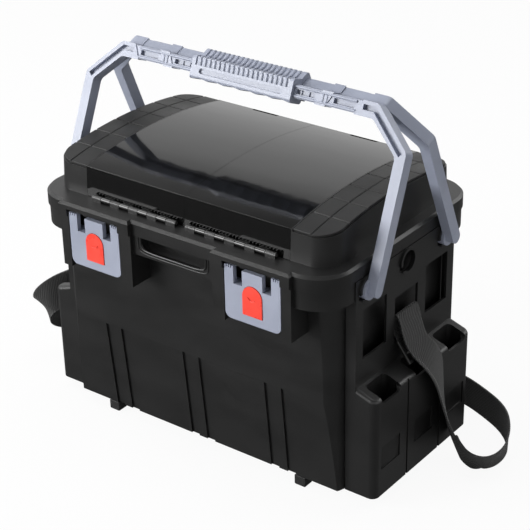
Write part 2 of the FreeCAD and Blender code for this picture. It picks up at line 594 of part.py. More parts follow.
def seat_pad():
    piece = Piece("right_seat_pad")
    plan = piece.profile(offset="flange_top").round_box(
        "pad_in - pad_corner * 2", "pad_out", minus("pad_y"), "pad_y", "pad_corner")
    piece.pad(plan, "crown_top - flange_top + wall")
    inner = piece.profile(offset="flange_top").box(
        "pad_in - pad_corner * 3", "pad_in", minus("block_y"), "block_y")
    piece.pocket(inner, "crown_top - flange_top + wall * 2", back=True)
    top = "crown_top + wall * 2"
    over = piece.profile("YZ_Plane").crown("0", minus("pad_y + wall"), "pad_y + wall", top)
    piece.pocket(over, "block_x * 3", both=True)
    under = piece.profile("YZ_Plane")
    under.crown("pad_thick", minus("pad_y + wall"), "pad_y + wall", "flange_top - wall")
    piece.pocket(under, "block_x * 3", both=True)
    # tile pattern: one groove along, the rest across
    rows = piece.profile("YZ_Plane", "pad_in")
    for i in range(1, int(value("tile_rows"))):
        middle = "pad_y * (2 * %d / tile_rows - 1)" % i
        rows.crown("tile_deep", "%s - tile_gap / 2" % middle, "%s + tile_gap / 2" % middle, top)
    piece.pocket(rows, "pad_out - pad_in", back=True)
    for i in range(1, int(value("tile_columns"))):
        place = "pad_in + (pad_out - pad_in) * %d / tile_columns - tile_gap / 2" % i
        column = piece.profile("YZ_Plane", place)
        column.crown("tile_deep", minus("pad_y + wall"), "pad_y + wall", top)
        piece.pocket(column, "tile_gap", back=True)
    return piece.body


def door():
    piece = Piece("right_door")
    skin = piece.profile("YZ_Plane", "door_gap / 2").polygon(
        (minus("block_y"), "flange_top + seam"),
        (minus("block_y - block_lean"), "crown_top + seam"),
        ("door_rear", "crown_top + seam"),
        ("door_rear", "flange_top + seam"))
    piece.pad(skin, "door_half - door_gap")
    over = piece.profile("YZ_Plane")
    over.crown("0", minus("block_y + wall"), "block_y + wall", "crown_top + wall * 2")
    piece.pocket(over, "block_x * 3", both=True)
    hollow = piece.profile("YZ_Plane")
    hollow.crown("door_skin", minus("front_wall_y + door_gap + seam"), "door_rear + wall", "flange_top - wall")
    piece.pocket(hollow, "block_x * 3", both=True)
    notch = piece.profile(offset="flange_top").round_box(
        "door_half / 2 - door_notch_half", "door_half / 2 + door_notch_half",
        "door_rear - door_notch_deep", "door_rear + door_notch_deep", "door_notch_deep / 2")
    piece.pocket(notch, "crown_top - flange_top + wall", back=True)
    step = "(hinge_end - hinge_start) / knuckles"
    for i in range(1, int(value("knuckles")), 2):
        start = "hinge_start + %s * %d + knuckle_gap / 2" % (step, i)
        leaf = piece.profile("YZ_Plane", start)
        leaf.box(minus("door_hinge_y"), minus("block_y - block_lean"),
                 "flange_top + seam", "door_hinge_z + knuckle_r / 2")
        barrel = piece.profile("YZ_Plane", start)
        barrel.disc(minus("door_hinge_y"), "door_hinge_z", "knuckle_r")
        piece.pad(leaf, "%s - knuckle_gap" % step)
        piece.pad(barrel, "%s - knuckle_gap" % step)
    bore = piece.profile("YZ_Plane", "hinge_start - knuckle_gap")
    bore.disc(minus("door_hinge_y"), "door_hinge_z", "door_pin_r + run_gap")
    piece.pocket(bore, "hinge_end - hinge_start + knuckle_gap * 2", back=True)
    return piece.body


def round_pin(label, start, length, y, z, radius):
    """A plain pin along X."""
    piece = Piece(label)
    piece.pad(piece.profile("YZ_Plane", start).disc(y, z, radius), length)
    return piece.body


def lid_hinge_pins():
    piece = Piece("lid_hinge_pins", several=True)
    reach = "lid_knuckle_half + tub_knuckle + knuckle_gap"
    circle = piece.profile("YZ_Plane", "lid_hinge_x - %s - knuckle_gap" % reach.replace(" + ", " - "))
    circle.disc("lid_hinge_y", "lid_hinge_z", "lid_pin_r")
    made = piece.pad(circle, "(%s) * 2 + knuckle_gap * 2" % reach)
    piece.mirror([made], "YZ_Plane")
    return piece.body


def latch():
    piece = Piece("right_latch")
    front = piece.profile("XZ_Plane", "latch_y")
    outline = [("-latch_half", "latch_low"), ("latch_half", "latch_low"),
               ("latch_half", "latch_top"), ("notch_out", "latch_top"),
               ("notch_out", "notch_low"), ("notch_in", "notch_low"),
               ("notch_in", "latch_top - tab_drop"), ("-notch_in", "latch_top - tab_drop"),
               ("-notch_in", "notch_low"), ("-notch_out", "notch_low"),
               ("-notch_out", "latch_top"), ("-latch_half", "latch_top")]
    front.polygon(*[("latch_x + %s" % x if x[0] != "-" else "latch_x %s" % x, z) for x, z in outline])
    piece.tidy = True
    piece.pad(front, "latch_deep", back=True)
    deep = vec(0, 1, 0)
    piece.fillet("latch_corner", lambda edge: runs_along(edge, deep) and mid_of(edge).z < value("latch_low") + 0.01)
    piece.tidy = False
    inside = piece.profile("XZ_Plane", "latch_y - latch_deep")
    inside.round_box("latch_x - latch_half + latch_skin", "latch_x + latch_half - latch_skin",
                     "latch_low + latch_skin", "notch_low - latch_skin", "latch_corner - latch_skin")
    piece.pocket(inside, "latch_deep - latch_skin", back=True)
    upper = piece.profile("XZ_Plane", "latch_y - latch_deep")
    upper.box("latch_x - latch_half - latch_skin", "latch_x + latch_half + latch_skin",
              "notch_low + latch_gap", "latch_top + latch_skin")
    piece.pocket(upper, "latch_deep - latch_lip", back=True)
    lip = piece.profile("XZ_Plane", "latch_y - latch_deep").arch(
        "latch_x - button_half - button_lip", "latch_x + button_half + button_lip",
        "button_low", "button_top - button_half")
    piece.pocket(lip, "latch_deep - latch_skin", back=True)
    window = piece.profile("XZ_Plane", "latch_y").arch(
        "latch_x - button_half - button_gap", "latch_x + button_half + button_gap",
        "button_low - button_gap", "button_top - button_half")
    piece.pocket(window, "latch_deep")
    slots = piece.profile("XZ_Plane", "latch_y")
    for side in ("-", "+"):
        for i in (-1, 0, 1):
            middle = "latch_x %s (notch_out + latch_half) / 2 + %d * latch_skin" % (side, i)
            slots.box("%s - latch_gap / 2" % middle, "%s + latch_gap / 2" % middle,
                      "latch_top - latch_skin", "latch_top + latch_skin")
    piece.pocket(slots, "latch_lip + latch_skin")
    bore = piece.profile("YZ_Plane", "latch_x").disc(minus("latch_pin_y"), "latch_pin_z", "latch_pin_r + run_gap")
    piece.pocket(bore, "latch_half * 3", both=True)
    return piece.body


def button():
    piece = Piece("right_latch_button")
    face = piece.profile("XZ_Plane", "latch_y + button_out").arch(
        "latch_x - button_half", "latch_x + button_half", "button_low", "button_top - button_half")
    piece.pad(face, "button_deep", back=True)
    lip = piece.profile("XZ_Plane", "latch_y - latch_skin").arch(
        "latch_x - button_half - button_lip + button_gap", "latch_x + button_half + button_lip - button_gap",
        "lip_low", "button_top - button_half")
    piece.pad(lip, "button_lip", back=True)
    stem = piece.profile("XZ_Plane", "latch_y - latch_skin")
    stem.disc("latch_x", "button_top - button_half", "stem_r")
    piece.pad(stem, "latch_y - latch_skin - stem_end", back=True)
    return piece.body


def button_spring():
    helix = doc.addObject("Part::Helix", "spring_path")
    start = "latch_y - latch_skin - button_lip - wire_r"
    height = "%s - stem_end" % start
    helix.Radius = value("spring_r")
    helix.Pitch = value("spring_pitch")
    helix.Height = value(height)
    lay = FreeCAD.Rotation(vec(1, 0, 0), -90)
    helix.Placement = FreeCAD.Placement(vec(value("latch_x"), -value(start), value("button_top - button_half")), lay)
    helix.setExpression("Radius", link("spring_r"))
    helix.setExpression("Pitch", link("spring_pitch"))
    helix.setExpression("Height", link(height))
    helix.setExpression("Placement.Base.x", link("latch_x"))
    helix.setExpression("Placement.Base.y", link(minus(start)))
    helix.setExpression("Placement.Base.z", link("button_top - button_half"))
    wire = doc.addObject("Part::Circle", "spring_wire")
    wire.Radius = value("wire_r")
    wire.Placement = FreeCAD.Placement(
        vec(value("latch_x + spring_r"), -value(start), value("button_top - button_half")), FreeCAD.Rotation())
    wire.setExpression("Radius", link("wire_r"))
    wire.setExpression("Placement.Base.x", link("latch_x + spring_r"))
    wire.setExpression("Placement.Base.y", link(minus(start)))
    wire.setExpression("Placement.Base.z", link("button_top - button_half"))
    doc.recompute()
    coil = doc.addObject("Part::Sweep", "right_button_spring")
    coil.Label = "right_button_spring"
    coil.Sections = [wire]
    coil.Spine = (helix, ["Edge1"])
    coil.Solid = True
    coil.Frenet = True
    return coil


def striker():
    piece = Piece("right_striker")
    block = piece.profile(offset="striker_low").box(
        "latch_x - striker_half", "latch_x + striker_half",
        minus("latch_y - latch_lip - seam * 2"), minus("striker_back"))
    piece.pad(block, "striker_high - striker_low")
    gaps = piece.profile(offset="striker_low")
    for i in range(-2, 3):
        middle = "latch_x + %d * tooth_pitch" % i
        gaps.box("%s - tooth_gap / 2" % middle, "%s + tooth_gap / 2" % middle,
                 minus("latch_y"), minus("striker_back + tooth_gap / 2"))
    piece.pocket(gaps, "striker_high - striker_low", back=True)
    return piece.body


def stand_up(piece):
    """Lean a handle half in over the box, turned about its pivots."""
    turn = FreeCAD.Rotation(vec(1, 0, 0), value("90 - lean"))
    piece.body.Placement = FreeCAD.Placement(vec(0, -value("pivot_y"), value("pivot_z")), turn)
    piece.body.setExpression("Placement.Base.y", link(minus("pivot_y")))
    piece.body.setExpression("Placement.Base.z", link("pivot_z"))
    piece.body.setExpression("Placement.Rotation.Angle", link("90 - lean"))


def on_both_sides(profile, corners):
    """Draw one outline and its mirror image across the middle."""
    profile.polygon(*corners)
    profile.polygon(*[(minus(x), y) for x, y in reversed(corners)])
    return profile


def bail():
    piece = Piece("front_bail")
    core = piece.profile(offset=minus("core_back"))
    core.box(minus("grip_half + grip_fit * 2"), "grip_half + grip_fit * 2", "core_low", "core_high")
    piece.pad(core, "core_thick")
    for sign, away in (("", False), ("-", True)):
        neck = piece.profile("YZ_Plane", "%s(grip_half + grip_fit)" % sign)
        neck.box("bar_low + step", "bar_high - step", minus("bail_thick / 2 - step"), "bail_thick / 2 - step")
        piece.pad(neck, "collar_top_x - grip_half", back=away)
    piece.tidy = True
    frame = on_both_sides(piece.profile(), [
        ("collar_top_x - collar_slant", "bar_low"), ("collar_top_x", "bar_high"),
        ("bar_bend_out", "bar_high"), ("bend_out_x", "bend_out_y"), ("arm_out", "0"),
        ("arm_in", "0"), ("bend_in_x", "bend_in_y"), ("bar_bend_in", "bar_low")])
    piece.pad(frame, "bail_thick", both=True)
    normal = vec(0, 0, 1)
    low = value("bend_in_y") - 1
    beyond = value("bar_bend_in") - 1
    piece.fillet("bail_bend", lambda edge: runs_along(edge, normal)
                 and mid_of(edge).y > low and abs(mid_of(edge).x) > beyond)
    piece.tidy = False
    blocks = on_both_sides(piece.profile(), [
        ("block_top_x - block_wide - collar_slant", "bar_low"), ("block_top_x - collar_slant", "bar_low"),
        ("block_top_x", "bar_high"), ("block_top_x - block_wide", "bar_high")])
    piece.pad(blocks, "bail_thick", both=True)
    # rounded arm ends with the studs that turn in the side carriers
    for sign, away in (("", False), ("-", True)):
        end = piece.profile("YZ_Plane", "%s(arm_in)" % sign).disc("0", "0", "bail_thick / 2")
        cap = piece.profile("YZ_Plane", "%s(arm_in)" % sign).disc("0", "0", "stud_r")
        stud = piece.profile("YZ_Plane", "%s(arm_in)" % sign).disc("0", "0", "stud_r")
        piece.pad(end, "arm_out - arm_in", back=away)
        piece.pad(cap, "step * 2", back=away)
        piece.pad(stud, "arm_in - panel_x + panel_wall + seam * 2", back=not away)
    channels = on_both_sides(piece.profile(offset="bail_thick / 2"), [
        ("channel_end", "channel_mid - channel_half"),
        ("bar_bend_in - step", "channel_mid - channel_half"),
        ("channel_low_x - channel_half * 0.69", "channel_low_y - channel_half * 0.73"),
        ("channel_low_x + channel_half * 0.69", "channel_low_y + channel_half * 0.73"),
        ("bar_bend_out - step * 2", "channel_mid + channel_half"),
        ("channel_end", "channel_mid + channel_half")])
    piece.pocket(channels, "channel_deep")
    webs = on_both_sides(piece.profile(offset="bail_thick / 2"), [
        ("block_top_x + step", "channel_mid - channel_half - step"),
        ("collar_top_x - collar_slant - step", "channel_mid - channel_half - step"),
        ("collar_top_x - collar_slant - step", "channel_mid + channel_half - step"),
        ("block_top_x + step", "channel_mid + channel_half - step")])
    piece.pocket(webs, "channel_deep")
    meet = piece.profile(turn="lean - 90")
    meet.box(minus("arm_out + step"), "arm_out + step", "pivot_y - meet_gap", "pivot_y * 2")
    piece.pocket(meet, "grip_high * 3", both=True)
    stand_up(piece)
    return piece.body


def grip():
    piece = Piece("front_grip")
    section = piece.profile("YZ_Plane", minus("grip_half")).round_box(
        "grip_low", "grip_high", minus("grip_front"), "grip_front", "grip_round")
    piece.pad(section, "grip_half * 2")
    slot = piece.profile(offset="grip_front").round_box(
        minus("grip_slot_half"), "grip_slot_half", "grip_slot_low", "grip_slot_high", "grip_slot_deep")
    piece.pocket(slot, "grip_slot_deep")
    for i in range(int(value("waves"))):
        wave = piece.profile()
        wave.disc("wave_pitch * (%d - (waves - 1) / 2)" % i, "grip_low + wave_deep - wave_r", "wave_r")
        piece.pocket(wave, "grip_front * 3", both=True)
    ribs = piece.profile(offset="grip_front")
    crest = piece.profile("XZ_Plane", minus("grip_high"))
    for i in range(int(value("rib_count"))):
        middle = "rib_pitch * (%d - (rib_count - 1) / 2)" % i
        ribs.box("%s - rib_gap / 2" % middle, "%s + rib_gap / 2" % middle, "rib_low", "grip_high + rib_deep")
        crest.box("%s - rib_gap / 2" % middle, "%s + rib_gap / 2" % middle, minus("grip_front"), "grip_front + rib_deep")
    piece.pocket(ribs, "rib_deep")
    piece.pocket(crest, "rib_deep", back=True)
    room = piece.profile(offset=minus("core_back + grip_fit"))
    room.box(minus("grip_half + step"), "grip_half + step", "core_low - grip_fit", "core_high + grip_fit")
    piece.pocket(room, "core_thick + grip_fit * 2", back=True)
    # the two halves meet in a row of shallow interlocking teeth
    seam = []
    for i in range(-12, 12):
        way = "+" if i % 2 == 0 else "-"
        seam.append(("rib_pitch * (%d + 0.5)" % i, "pivot_y - meet_gap %s tooth_high" % way))
    seam += [("rib_pitch * 11.5", "pivot_y * 2"), ("rib_pitch * -11.5", "pivot_y * 2")]
    meet = piece.profile(turn="lean - 90").polygon(*seam)
    piece.pocket(meet, "grip_high * 3", both=True)
    stand_up(piece)
    return piece.body


def slide():
    piece = Piece("right_slide")
    plan = piece.profile().round_box(
        minus("slide_half"), "slide_half", minus("strap_wide / 2 + slide_fit + slide_rail"),
        "strap_wide / 2 + slide_fit + slide_rail", "slide_rail / 2")
    piece.pad(plan, "slide_thick", both=True)
    windows = piece.profile()
    for left, right in both_signs("slide_bar / 2", "slide_half - slide_bar"):
        windows.box(left, right, minus("strap_wide / 2 + slide_fit"), "strap_wide / 2 + slide_fit")
    piece.pocket(windows, "slide_thick * 2", both=True)
    turn = FreeCAD.Rotation(vec(0, 1, 0), value("slide_tilt"))
    piece.body.Placement = FreeCAD.Placement(vec(value("slide_x"), 0, value("slide_z")), turn)
    piece.body.setExpression("Placement.Base.x", link("slide_x"))
    piece.body.setExpression("Placement.Base.z", link("slide_z"))
    piece.body.setExpression("Placement.Rotation.Angle", link("slide_tilt"))
    return piece.body


def strap_route():
    """Middle line of the webbing with the direction of its width at each place."""
    y_way, down = (0, 1, 0), (0, 0, -1)
    right = [
        ((219.5, 0, 160), y_way), ((214, 0, 173), y_way), ((205.5, 0, 182), y_way),
        ((203.8, 0, 196), y_way), ((209, 0, 206), y_way), ((214.5, 0, 200), y_way),
        ((218.5, 0, 184), y_way), ((225, 0, 168), y_way), ((232, 0, 156), y_way),
        ((239.5, 1, 145), y_way), ((241.5, 5, 125), (-0.08, 1, 0.05)), ((241.5, 16, 85), (-0.3, 0.9, 0.3)),
        ((243.5, 31, 56), (-0.75, 0.45, 0.2)), ((252, 48, 33), (-0.5, 0.05, -0.75)),
        ((275, 62, 22), down), ((298, 80, 20.3), down), ((303, 104, 20.3), down), ((290, 128, 20.3), down),
        ((250, 150, 20.3), down), ((205, 157, 20.3), down), ((150, 163, 20.3), down), ((50, 167, 20.3), down)]
    left = [
        ((-50, 167, 20.3), down), ((-150, 163, 20.3), down), ((-205, 157, 20.3), down), ((-242, 132, 20.3), down),
        ((-256, 82, 21), (-0.05, 0, -1)), ((-266, 30, 34), (0.15, 0.1, -1)), ((-287, -22, 52), (0.4, 0, -0.9)),
        ((-296, -50, 63), (0.6, -0.1, -0.75)), ((-299, -62, 74), (0.75, -0.1, -0.6)),
        ((-296, -62, 85), (0.8, 0.1, -0.5)), ((-286, -54, 96), (0.7, 0.45, -0.4)),
        ((-270, -36, 110), (0.5, 0.75, -0.2)), ((-252, -16, 129), (0.15, 1, 0)),
        ((-239.5, -2, 145), y_way), ((-232, 0, 156), y_way), ((-225, 0, 168), y_way), ((-218.5, 0, 184), y_way),
        ((-214.5, 0, 200), y_way), ((-209, 0, 206), y_way), ((-203.8, 0, 196), y_way),
        ((-205.5, 0, 182), y_way), ((-214, 0, 173), y_way), ((-219.5, 0, 160), y_way)]
    return right + left


def shoulder_strap():
    route = strap_route()
    points = [vec(*place) for place, width in route]
    curve = Part.BSplineCurve()
    curve.interpolate(points)
    half_wide = value("strap_wide / 2")
    half_thick = value("strap_thick / 2")
    wires = []
    for i, (place, width) in enumerate(route):
        middle = vec(*place)
        along = curve.tangent(curve.parameter(middle))[0]
        wide = vec(*width)
        wide = (wide - along * wide.dot(along)).normalize()
        through = along.cross(wide)
        corners = [middle + wide * (a * half_wide) + through * (b * half_thick)
                   for a, b in ((-1, -1), (1, -1), (1, 1), (-1, 1))]
        wires.append(Part.makePolygon(corners + corners[:1]))
    made = doc.addObject("Part::Feature", "shoulder_strap")
    made.Shape = Part.makeLoft(wires, True, True)
    return made


def build():
    made = [tub(), feet()]
    right_carrier = side_carrier()
    made += [right_carrier, mirrored("left_side_carrier", right_carrier), carrier_screws()]
    made += [lid_frame(), lid_hinge_pins()]
    hinge_pin = round_pin("right_door_pin", "hinge_start - knuckle_gap / 2",
                          "hinge_end - hinge_start + knuckle_gap", minus("door_hinge_y"),
                          "door_hinge_z", "door_pin_r")
    latch_pin = round_pin("right_latch_pin", "latch_x - pin_reach", "pin_reach * 2",
                          minus("latch_pin_y"), "latch_pin_z", "latch_pin_r")
    for right in (seat_pad(), door(), hinge_pin, latch(), button(), button_spring(), latch_pin, striker(), slide()):
        made += [right, mirrored(right.Label.replace("right", "left"), right)]
    for front in (bail(), grip()):
        name = front.Label.replace("front", "rear")
        across = mirrored(name + "_across", front)
        rear = doc.addObject("Part::Mirroring", name)
        rear.Label = name
        rear.Source = across
        rear.Normal = vec(0, 1, 0)
        made += [front, rear]
    made.append(shoulder_strap())
    return made


def finish(nodes):
    doc.recompute()
    for item in doc.Objects:
        if "Invalid" in item.State or "Error" in item.State:
            raise RuntimeError("%s failed: %s" % (item.Label, item.State))
    os.makedirs("parts", exist_ok=True)
    for node in nodes:
        shape = node.Shape
        if shape.isNull() or not shape.isValid():
            raise RuntimeError("%s has no valid shape" % node.Label)
        box = shape.BoundBox
        print("%-20s solids %d volume %8.0f X %.1f %.1f Y %.1f %.1f Z %.1f %.1f" % (
            node.Label, len(shape.Solids), shape.Volume,
            box.XMin, box.XMax, box.YMin, box.YMax, box.ZMin, box.ZMax))
        shape.exportStep("parts/%s.step" % node.Label)


finish(build())
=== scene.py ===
import json
import math
import bmesh
import bpy
from mathutils import Matrix, Vector


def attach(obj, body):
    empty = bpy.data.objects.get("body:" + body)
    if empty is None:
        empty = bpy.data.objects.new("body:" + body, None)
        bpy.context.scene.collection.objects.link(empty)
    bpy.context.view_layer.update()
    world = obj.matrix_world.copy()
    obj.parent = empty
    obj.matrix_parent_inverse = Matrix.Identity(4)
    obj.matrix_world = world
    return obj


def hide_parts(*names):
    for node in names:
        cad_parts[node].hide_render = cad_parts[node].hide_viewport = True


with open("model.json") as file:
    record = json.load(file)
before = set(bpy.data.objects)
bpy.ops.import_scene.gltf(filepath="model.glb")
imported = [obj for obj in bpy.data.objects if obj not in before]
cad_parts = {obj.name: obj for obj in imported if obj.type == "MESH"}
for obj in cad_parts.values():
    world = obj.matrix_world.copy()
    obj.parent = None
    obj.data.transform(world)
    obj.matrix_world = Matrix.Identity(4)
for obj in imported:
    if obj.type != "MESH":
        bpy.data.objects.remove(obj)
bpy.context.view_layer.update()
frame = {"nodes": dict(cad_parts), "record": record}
nodes = frame["nodes"]
bodyOf = {node: body for body, held in frame["record"]["behaviour"]["bodies"].items() for node in held}
slotOf = {part["node"]: part["material_slot"] for part in frame["record"]["subparts"]}
mm = 0.001
print("stage: frame loaded")

# where the photograph was taken from
camera = {"azimuth": 37.789, "elevation": 28.302, "roll": -1.396, "place": (1.0384, -1.3393, 1.0676),
          "lens": 109.27, "shift": (0.0169, 0.0593)}


def placeCamera():
    azimuth, elevation, roll = (math.radians(camera[key]) for key in ("azimuth", "elevation", "roll"))
    right = Vector((math.cos(azimuth), math.sin(azimuth), 0))
    back = Vector((math.sin(azimuth) * math.cos(elevation), -math.cos(azimuth) * math.cos(elevation),
                   math.sin(elevation)))
    up = back.cross(right)
    across = right * math.cos(roll) + up * math.sin(roll)
    upward = up * math.cos(roll) - right * math.sin(roll)
    data = bpy.data.cameras.new("camera")
    data.lens = camera["lens"]
    data.sensor_width = 36
    data.shift_x, data.shift_y = camera["shift"]
    data.clip_end = 30
    turn = Matrix((across, upward, back)).transposed().to_4x4()
    made = bpy.data.objects.new("camera", data)
    made.matrix_world = Matrix.Translation(Vector(camera["place"])) @ turn
    bpy.context.collection.objects.link(made)
    bpy.context.scene.camera = made


placeCamera()
bpy.context.scene.view_settings.view_transform = "Standard"


class Value:  # a node's output that Python's own operators work on
    def __init__(self, finish, socket):
        self.finish, self.socket = finish, socket

    def maths(self, operation, *others):
        return self.finish.node("ShaderNodeMath", {"operation": operation}, self, *others)

    def after(self, operation, other):
        return self.finish.node("ShaderNodeMath", {"operation": operation}, other, self)

    def __add__(self, other): return self.maths("ADD", other)
    def __radd__(self, other): return self.after("ADD", other)
    def __sub__(self, other): return self.maths("SUBTRACT", other)
    def __rsub__(self, other): return self.after("SUBTRACT", other)
    def __mul__(self, other): return self.maths("MULTIPLY", other)
    def __rmul__(self, other): return self.after("MULTIPLY", other)


class Finish:  # one material, or the world, and the nodes in it
    def __init__(self, owner):
        owner.use_nodes = True
        self.owner = owner
        self.nodes, self.links = owner.node_tree.nodes, owner.node_tree.links
        self.shader = self.nodes.get("Principled BSDF")

    def feed(self, socket, given):
        if isinstance(given, Value):
            self.links.new(given.socket, socket)
        else:
            socket.default_value = given

    def node(self, kind, settings=None, *given, out=0, **named):
        made = self.nodes.new(kind)
        for key, setting in (settings or {}).items():
            setattr(made, key, setting)
        for socket, value in zip(made.inputs, given):
            self.feed(socket, value)
        for key, value in named.items():
            self.feed(made.inputs[key.replace("_", " ")], value)
        return Value(self, made.outputs[out])

    def place(self, stretch=None):
        where = self.node("ShaderNodeTexCoord", out="Object")
        return self.node("ShaderNodeMapping", {}, where, Scale=stretch) if stretch else where

    def along(self, vector, axis):
        return self.node("ShaderNodeSeparateXYZ", {}, vector, out=axis)

    def noise(self, scale, detail=3, rough=0.5, where=None):
        return self.node("ShaderNodeTexNoise", {}, Vector=where or self.place(), Scale=scale, Detail=detail,
                         Roughness=rough)

    def spread(self, value, low, high, fromLow=0.3, fromHigh=0.7):
        return self.node("ShaderNodeMapRange", {}, value, fromLow, fromHigh, low, high)

    def blend(self, share, first, second):
        made = self.nodes.new("ShaderNodeMix")
        made.data_type = "RGBA"
        for place, given in ((0, share), (6, first), (7, second)):
            self.feed(made.inputs[place], given)
        return Value(self, made.outputs[2])

    def bump(self, height, strength, distance):
        return self.node("ShaderNodeBump", {}, Height=height, Strength=strength, Distance=distance)

    def done(self, **sockets):
        for key, given in sockets.items():
            self.feed(self.shader.inputs[key.replace("_", " ")], given)
        return self.owner


def tone(red, green=None, blue=None):
    return (red, red if green is None else green, red if blue is None else blue, 1)


def newFinish(name):
    return Finish(bpy.data.materials.new(name))


# moulded shell: satin black with a fine spark-eroded grain and soft flow marks
shellLook = {"dark": 0.008, "light": 0.013, "grain": 1150, "flow": (9, 9, 26), "rough": (0.3, 0.45)}


def makeShell():
    f = newFinish("grainedShell")
    flow = f.noise(1, 3, 0.5, f.place(shellLook["flow"]))
    grain = f.noise(shellLook["grain"], 3, 0.65)
    colour = f.blend(f.spread(flow, 0, 1), tone(shellLook["dark"]), tone(shellLook["light"]))
    rough = f.spread(grain * 0.6 + flow * 0.4, *shellLook["rough"])
    return f.done(Base_Color=colour, Roughness=rough, Specular_IOR_Level=0.5,
                  Normal=f.bump(grain, 0.32, 0.00035))


# polished doors: almost mirror black, with the slight waviness of a moulding
glossLook = {"dark": 0.0022, "light": 0.004, "rough": (0.05, 0.11), "wave": (7, 16, 16)}


def makeGloss():
    f = newFinish("polishedDoor")
    wave = f.noise(1, 2, 0.4, f.place(glossLook["wave"]))
    haze = f.noise(45, 4, 0.6)
    return f.done(Base_Color=f.blend(haze, tone(glossLook["dark"]), tone(glossLook["light"])),
                  Roughness=f.spread(haze, *glossLook["rough"]), Specular_IOR_Level=0.5,
                  Normal=f.bump(wave, 0.12, 0.004))


# seat pads: soft rubbery black, each tile a little crowned
padLook = {"dark": 0.01, "light": 0.015, "grain": 1400, "rough": (0.42, 0.6)}


def makePad():
    f = newFinish("softPad")
    grain = f.noise(padLook["grain"], 3, 0.6)
    cloud = f.noise(24, 3)
    return f.done(Base_Color=f.blend(f.spread(cloud, 0, 1), tone(padLook["dark"]), tone(padLook["light"])),
                  Roughness=f.spread(cloud, *padLook["rough"]), Specular_IOR_Level=0.36,
                  Normal=f.bump(grain, 0.4, 0.0003))


# handle and latches: satin lavender grey
greyLook = {"dark": (0.27, 0.295, 0.37), "light": (0.32, 0.345, 0.43), "rough": (0.3, 0.42)}


def makeGrey():
    f = newFinish("lavenderGrey")
    flow = f.noise(16, 3)
    grain = f.noise(1700, 2)
    return f.done(Base_Color=f.blend(f.spread(flow, 0, 1), tone(*greyLook["dark"]), tone(*greyLook["light"])),
                  Roughness=f.spread(flow, *greyLook["rough"]), Normal=f.bump(grain, 0.12, 0.0002))


def makeRed():
    f = newFinish("signalRed")
    flow = f.noise(70, 2)
    return f.done(Base_Color=f.blend(flow, tone(0.8, 0.045, 0.028), tone(0.93, 0.075, 0.045)),
                  Roughness=f.spread(flow, 0.26, 0.34), Normal=f.bump(f.noise(1500, 2), 0.06, 0.0002))


def makeSteel():
    f = newFinish("drawnSteel")
    lines = f.noise(1, 3, 0.6, f.place((40, 2400, 2400)))
    return f.done(Base_Color=f.blend(lines, tone(0.5), tone(0.64)), Metallic=1.0,
                  Roughness=f.spread(lines, 0.2, 0.36))


# flat woven strap: diagonal twill over fine picks, with a painted highlight making both selvedges paler
weaveLook = {"twill": 10, "picks": 30, "dark": 0.003, "light": 0.014, "selvedgeHighlight": 0.05}


def makeWebbing():
    f = newFinish("wovenWebbing")
    flat = f.node("ShaderNodeUVMap", {"uv_map": "flat"})
    across, along = f.along(flat, "X"), f.along(flat, "Y")
    twill = ((across + along) * (weaveLook["twill"] * 2 * math.pi)).maths("SINE")
    picks = ((along * 2 - across) * (weaveLook["picks"] * math.pi)).maths("SINE")
    weave = f.spread(twill * 0.65 + picks * 0.35, 0, 1, -1, 1)
    fuzz = f.noise(2600, 2)
    # painted highlight: the weave colour turns paler towards both edges of the strap
    selvedgeHighlight = f.spread((across - 0.5).maths("ABSOLUTE"), 0, 1, 0.44, 0.49)
    colour = f.blend(weave, tone(weaveLook["dark"]), tone(weaveLook["light"]))
    colour = f.blend(selvedgeHighlight * weave, colour, tone(weaveLook["selvedgeHighlight"]))
    return f.done(Base_Color=colour, Roughness=f.spread(fuzz, 0.62, 0.85), Sheen_Weight=0.15,
                  Normal=f.bump(weave + fuzz * 0.3, 0.7, 0.0007))


def makeThread():
    f = newFinish("paleThread")
    twist = f.noise(3000, 2)
    return f.done(Base_Color=f.blend(twist, tone(0.16), tone(0.34)), Roughness=f.spread(twist, 0.5, 0.7),
                  Normal=f.bump(twist, 0.3, 0.0002))


def makeFoot():
    f = newFinish("mattFoot")
    grain = f.noise(900, 2)
    return f.done(Base_Color=f.blend(grain, tone(0.006), tone(0.01)), Roughness=f.spread(grain, 0.6, 0.8),
                  Normal=f.bump(grain, 0.25, 0.0003))


def makeLabel():
    f = newFinish("smoothLabelSeat")
    cloud = f.noise(40, 2)
    return f.done(Base_Color=f.blend(cloud, tone(0.0022), tone(0.0036)),
                  Roughness=f.spread(cloud, 0.34, 0.46), Normal=f.bump(cloud, 0.05, 0.0003))


finishes = {"shell": makeShell(), "gloss": makeGloss(), "pad": makePad(), "grey": makeGrey(),
            "red": makeRed(), "steel": makeSteel(), "webbing": makeWebbing(), "foot": makeFoot(),
            "label": makeLabel(), "thread": makeThread()}
for node, held in nodes.items():
    held.data.materials.clear()
    held.data.materials.append(finishes[slotOf[node]])
print("stage: finishes made")


def newPiece(name, bm, body, slot, finish=None, sharp=40):
    limit = math.radians(sharp)
    for face in bm.faces:
        face.smooth = True
    for edge in bm.edges:
        edge.smooth = len(edge.link_faces) == 2 and edge.calc_face_angle(0) < limit
    mesh = bpy.data.meshes.new(name)
    bm.to_mesh(mesh)
    bm.free()
    mesh.materials.append(finishes[finish or slot])
    made = bpy.data.objects.new(name, mesh)
    bpy.context.collection.objects.link(made)
    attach(made, body)
    return made


